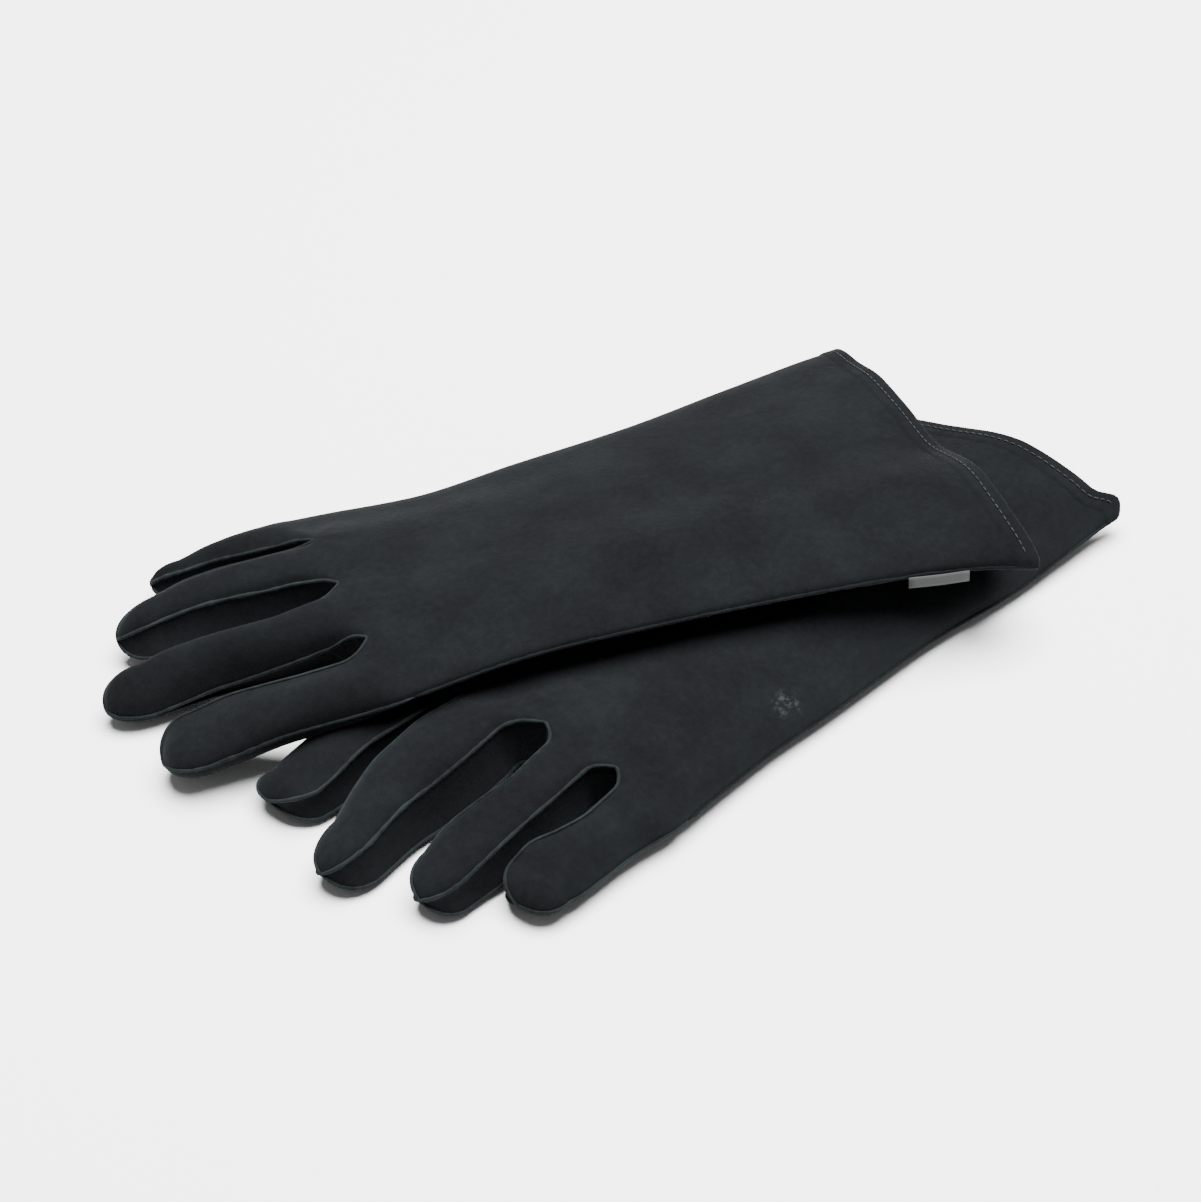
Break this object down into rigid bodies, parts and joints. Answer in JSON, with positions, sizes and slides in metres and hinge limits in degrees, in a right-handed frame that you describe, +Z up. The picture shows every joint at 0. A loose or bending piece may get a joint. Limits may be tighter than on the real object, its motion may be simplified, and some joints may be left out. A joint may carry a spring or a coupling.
{
  "type": "pair of heat resistant gloves",
  "caption": "Pair of lined split-leather gauntlet gloves for fire and grill work, lying crossed with backs up; fingers curl, thumbs swing and the upper glove lifts off.",
  "frame": {"origin": "under the middle of the pair, on the surface it lies on", "axes": "+X from the fingertips towards the cuffs, +Y across the pair, +Z up"},
  "size_m": [0.3906, 0.244, 0.0492],
  "materials": {
    "split_leather": "matte suede",
    "welt_leather": "matte raw edge",
    "lining": "brushed cotton",
    "thread": "spun thread",
    "label": "woven"
  },
  "bodies": {
    "left_hand": {"left_back_panel": "split_leather", "left_palm_panel": "split_leather", "left_back_lining": "lining", "left_palm_lining": "lining", "left_cuff_hem": "split_leather", "left_hem_stitching": "thread", "left_side_welts": "welt_leather"},
    "left_index_finger": {"left_index_back": "split_leather", "left_index_palm": "split_leather", "left_index_fourchettes": "split_leather", "left_index_lining": "lining"},
    "left_middle_finger": {"left_middle_back": "split_leather", "left_middle_palm": "split_leather", "left_middle_fourchettes": "split_leather", "left_middle_lining": "lining"},
    "left_ring_finger": {"left_ring_back": "split_leather", "left_ring_palm": "split_leather", "left_ring_fourchettes": "split_leather", "left_ring_lining": "lining"},
    "left_little_finger": {"left_little_back": "split_leather", "left_little_palm": "split_leather", "left_little_fourchettes": "split_leather", "left_little_lining": "lining"},
    "left_thumb": {"left_thumb_upper": "split_leather", "left_thumb_lower": "split_leather", "left_thumb_lining": "lining"},
    "right_hand": {"right_back_panel": "split_leather", "right_palm_panel": "split_leather", "right_back_lining": "lining", "right_palm_lining": "lining", "right_cuff_hem": "split_leather", "right_hem_stitching": "thread", "right_side_welts": "welt_leather", "right_label": "label"},
    "right_index_finger": {"right_index_back": "split_leather", "right_index_palm": "split_leather", "right_index_fourchettes": "split_leather", "right_index_lining": "lining"},
    "right_middle_finger": {"right_middle_back": "split_leather", "right_middle_palm": "split_leather", "right_middle_fourchettes": "split_leather", "right_middle_lining": "lining"},
    "right_ring_finger": {"right_ring_back": "split_leather", "right_ring_palm": "split_leather", "right_ring_fourchettes": "split_leather", "right_ring_lining": "lining"},
    "right_little_finger": {"right_little_back": "split_leather", "right_little_palm": "split_leather", "right_little_fourchettes": "split_leather", "right_little_lining": "lining"},
    "right_thumb": {"right_thumb_upper": "split_leather", "right_thumb_lower": "split_leather", "right_thumb_lining": "lining"}
  },
  "joints": [
    {"name": "right_glove_lift", "type": "slide", "parent": "left_hand", "child": "right_hand", "axis": [0, 0, 1], "range_m": [0, 0.25]},
    {"name": "left_index_curl", "type": "hinge", "parent": "left_hand", "child": "left_index_finger", "pos_m": [-0.0849, -0.006, 0.01425], "axis": [0.1489, -0.9889, 0], "range_deg": [0, 60]},
    {"name": "left_middle_curl", "type": "hinge", "parent": "left_hand", "child": "left_middle_finger", "pos_m": [-0.07695, -0.03803, 0.0145], "axis": [0.1949, -0.9808, 0], "range_deg": [0, 70]},
    {"name": "left_ring_curl", "type": "hinge", "parent": "left_hand", "child": "left_ring_finger", "pos_m": [-0.06851, -0.072, 0.0145], "axis": [0.211, -0.9775, 0], "range_deg": [-15, 70]},
    {"name": "left_little_curl", "type": "hinge", "parent": "left_hand", "child": "left_little_finger", "pos_m": [-0.06128, -0.10111, 0.01325], "axis": [0.169, -0.9856, 0], "range_deg": [-15, 48]},
    {"name": "left_thumb_swing", "type": "hinge", "parent": "left_hand", "child": "left_thumb", "pos_m": [0.02487, 0.00838, 0.0045], "axis": [0, 0, -1], "range_deg": [0, 55]},
    {"name": "right_index_curl", "type": "hinge", "parent": "right_hand", "child": "right_index_finger", "pos_m": [-0.1118, -0.00447, 0.03375], "axis": [-0.3374, -0.9413, 0], "range_deg": [-25, 0]},
    {"name": "right_middle_curl", "type": "hinge", "parent": "right_hand", "child": "right_middle_finger", "pos_m": [-0.10365, 0.02802, 0.0285], "axis": [-0.376, -0.9266, 0], "range_deg": [-25, 60]},
    {"name": "right_ring_curl", "type": "hinge", "parent": "right_hand", "child": "right_ring_finger", "pos_m": [-0.09525, 0.06148, 0.0255], "axis": [-0.3812, -0.9245, 0], "range_deg": [-25, 60]},
    {"name": "right_little_curl", "type": "hinge", "parent": "right_hand", "child": "right_little_finger", "pos_m": [-0.08783, 0.09107, 0.022], "axis": [-0.3748, -0.9271, 0], "range_deg": [-25, 38]},
    {"name": "right_thumb_swing", "type": "hinge", "parent": "right_hand", "child": "right_thumb", "pos_m": [-0.00436, -0.00771, 0.028], "axis": [0.0154, 0.1982, 0.98], "range_deg": [-12, 8]}
  ]
}
